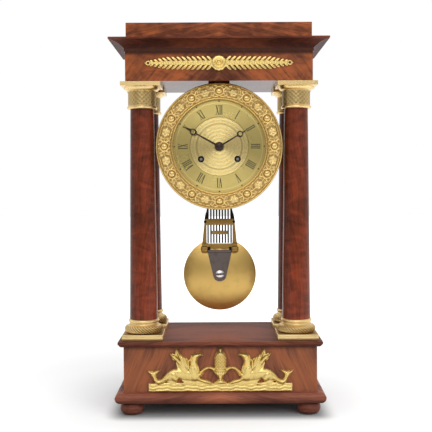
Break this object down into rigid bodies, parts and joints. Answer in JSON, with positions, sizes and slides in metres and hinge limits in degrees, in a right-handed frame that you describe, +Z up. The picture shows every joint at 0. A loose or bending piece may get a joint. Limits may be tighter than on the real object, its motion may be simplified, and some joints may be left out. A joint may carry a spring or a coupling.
{
  "type": "portico clock",
  "caption": "Mahogany portico clock on turned columns with gilt mounts, a round striking movement in a cast bezel and a gridiron pendulum swinging between the columns.",
  "frame": {"origin": "on the ground, in the middle of the plan", "axes": "+X to the viewer's right, -Y towards the viewer, +Z up"},
  "size_m": [0.2624, 0.1594, 0.476],
  "materials": {
    "mahogany": "french polish",
    "column_mahogany": "french polish",
    "ormolu": "fire gilt",
    "gilt_dial": "matt gilt, engine turned",
    "brass": "polished",
    "bell_metal": "turned",
    "steel": "bright",
    "blued_steel": "dark blued"
  },
  "bodies": {
    "case": {"bun_feet": "mahogany", "plinth_board": "mahogany", "base_case": "mahogany", "base_top": "mahogany", "column_bases": "ormolu", "column_front_left": "column_mahogany", "column_front_right": "column_mahogany", "column_back_left": "column_mahogany", "column_back_right": "column_mahogany", "capitals": "ormolu", "column_tie_rods": "steel", "entablature": "mahogany", "cornice": "mahogany", "attic": "mahogany", "frieze_mount": "ormolu", "base_mount": "ormolu", "saddle": "mahogany", "case_screws": "steel", "drum": "brass", "bezel": "ormolu", "dial": "gilt_dial", "front_plate": "brass", "back_plate": "brass", "plate_pillars": "brass", "back_ring": "brass", "straps": "steel", "bell": "bell_metal", "bell_stand": "brass", "suspension_cock": "brass"},
    "minute_set": {"cannon_pinion": "brass", "minute_hand": "blued_steel"},
    "hour_set": {"hour_wheel": "brass", "hour_hand": "blued_steel"},
    "minute_wheel": {"minute_wheel": "brass"},
    "pendulum": {"suspension_spring": "steel", "pendulum_head": "brass", "gridiron_rods": "steel", "gridiron_frame": "ormolu", "bob": "brass", "bob_tongue": "steel"},
    "pallets": {"pallets": "steel"},
    "escape_wheel": {"escape_wheel": "brass"},
    "third_wheel": {"third_wheel": "brass"},
    "centre_wheel": {"centre_wheel": "brass"},
    "second_wheel": {"second_wheel": "brass"},
    "going_barrel": {"going_barrel": "brass", "going_mainspring": "steel"},
    "going_arbor": {"going_arbor": "steel"},
    "going_click": {"going_click": "steel"},
    "strike_barrel": {"strike_barrel": "brass", "strike_mainspring": "steel"},
    "strike_wheel": {"strike_wheel": "brass", "count_wheel": "brass"},
    "pin_wheel": {"pin_wheel": "brass"},
    "warning_wheel": {"warning_wheel": "brass"},
    "fly": {"fly": "brass"},
    "hammer": {"hammer": "steel"},
    "strike_arbor": {"strike_arbor": "steel"},
    "strike_click": {"strike_click": "steel"}
  },
  "joints": [
    {"name": "minute_hand_turn", "type": "hinge", "parent": "case", "child": "minute_set", "pos_m": [0, -0.05, 0.3276], "axis": [0, 1, 0], "continuous": true},
    {"name": "hour_hand_turn", "type": "hinge", "parent": "case", "child": "hour_set", "pos_m": [0, -0.05, 0.3276], "axis": [0, 1, 0], "continuous": true},
    {"name": "minute_wheel_turn", "type": "hinge", "parent": "case", "child": "minute_wheel", "pos_m": [0, -0.046, 0.3396], "axis": [0, 1, 0], "continuous": true},
    {"name": "pendulum_swing", "type": "hinge", "parent": "case", "child": "pendulum", "pos_m": [0, 0.014, 0.3636], "axis": [0, 1, 0], "range_deg": [-5, 5]},
    {"name": "pallets_rock", "type": "hinge", "parent": "case", "child": "pallets", "pos_m": [0, 0, 0.3636], "axis": [0, 1, 0], "range_deg": [-5.1, 5.1]},
    {"name": "escape_wheel_turn", "type": "hinge", "parent": "case", "child": "escape_wheel", "pos_m": [0, -0.022, 0.3484], "axis": [0, 1, 0], "range_deg": [-3.06, 3.06]},
    {"name": "third_wheel_turn", "type": "hinge", "parent": "case", "child": "third_wheel", "pos_m": [-0.01279, -0.022, 0.33969], "axis": [0, 1, 0], "range_deg": [-0.2295, 0.2295]},
    {"name": "centre_wheel_turn", "type": "hinge", "parent": "case", "child": "centre_wheel", "pos_m": [0, -0.022, 0.3276], "axis": [0, 1, 0], "range_deg": [-0.02295, 0.02295]},
    {"name": "second_wheel_turn", "type": "hinge", "parent": "case", "child": "second_wheel", "pos_m": [0.01599, -0.022, 0.33587], "axis": [0, 1, 0], "range_deg": [-0.003279, 0.003279]},
    {"name": "going_barrel_turn", "type": "hinge", "parent": "case", "child": "going_barrel", "pos_m": [0.0223, -0.022, 0.3122], "axis": [0, 1, 0], "range_deg": [-0.000546, 0.000546]},
    {"name": "going_wind", "type": "hinge", "parent": "case", "child": "going_arbor", "pos_m": [0.0223, -0.022, 0.3122], "axis": [0, 1, 0], "range_deg": [0, 1800]},
    {"name": "going_click_lift", "type": "hinge", "parent": "case", "child": "going_click", "pos_m": [0.0356, -0.046, 0.31454], "axis": [0, 1, 0], "range_deg": [0, 15], "stiffness_Nm_per_rad": 0.0005, "springref_deg": -17.19},
    {"name": "strike_run", "type": "hinge", "parent": "case", "child": "pin_wheel", "pos_m": [-0.02984, -0.022, 0.3455], "axis": [0, -1, 0], "range_deg": [0, 18]},
    {"name": "strike_wheel_turn", "type": "hinge", "parent": "case", "child": "strike_wheel", "pos_m": [-0.03301, -0.022, 0.33368], "axis": [0, -1, 0], "range_deg": [-2.45, 0]},
    {"name": "strike_barrel_turn", "type": "hinge", "parent": "case", "child": "strike_barrel", "pos_m": [-0.0223, -0.022, 0.3122], "axis": [0, -1, 0], "range_deg": [0, 0.34971]},
    {"name": "warning_wheel_turn", "type": "hinge", "parent": "case", "child": "warning_wheel", "pos_m": [-0.02527, -0.022, 0.35342], "axis": [0, -1, 0], "range_deg": [-141.63, 0]},
    {"name": "fly_turn", "type": "hinge", "parent": "case", "child": "fly", "pos_m": [-0.01867, -0.022, 0.35583], "axis": [0, -1, 0], "range_deg": [0, 1133.07]},
    {"name": "hammer_lift", "type": "hinge", "parent": "case", "child": "hammer", "pos_m": [-0.02701, 0, 0.36158], "axis": [0, -1, 0], "range_deg": [-10.1, 0]},
    {"name": "strike_wind", "type": "hinge", "parent": "case", "child": "strike_arbor", "pos_m": [-0.0223, -0.022, 0.3122], "axis": [0, -1, 0], "range_deg": [0, 1800]},
    {"name": "strike_click_lift", "type": "hinge", "parent": "case", "child": "strike_click", "pos_m": [-0.0356, -0.046, 0.31454], "axis": [0, -1, 0], "range_deg": [0, 15], "stiffness_Nm_per_rad": 0.0005, "springref_deg": -17.19}
  ],
  "couplings": [
    {"joint": "hour_hand_turn", "follows": "minute_hand_turn", "ratio": 0.083333},
    {"joint": "minute_wheel_turn", "follows": "minute_hand_turn", "ratio": -0.33333},
    {"joint": "pallets_rock", "follows": "pendulum_swing", "ratio": 1},
    {"joint": "escape_wheel_turn", "follows": "pendulum_swing", "ratio": 0.6},
    {"joint": "third_wheel_turn", "follows": "pendulum_swing", "ratio": -0.045},
    {"joint": "centre_wheel_turn", "follows": "pendulum_swing", "ratio": 0.0045},
    {"joint": "second_wheel_turn", "follows": "pendulum_swing", "ratio": -0.00064286},
    {"joint": "going_barrel_turn", "follows": "pendulum_swing", "ratio": 0.00010714},
    {"joint": "strike_wheel_turn", "follows": "strike_run", "ratio": -0.13333},
    {"joint": "strike_barrel_turn", "follows": "strike_run", "ratio": 0.019048},
    {"joint": "warning_wheel_turn", "follows": "strike_run", "ratio": -7.7143},
    {"joint": "fly_turn", "follows": "strike_run", "ratio": 61.714},
    {"joint": "hammer_lift", "follows": "strike_run", "ratio": -0.55}
  ]
}
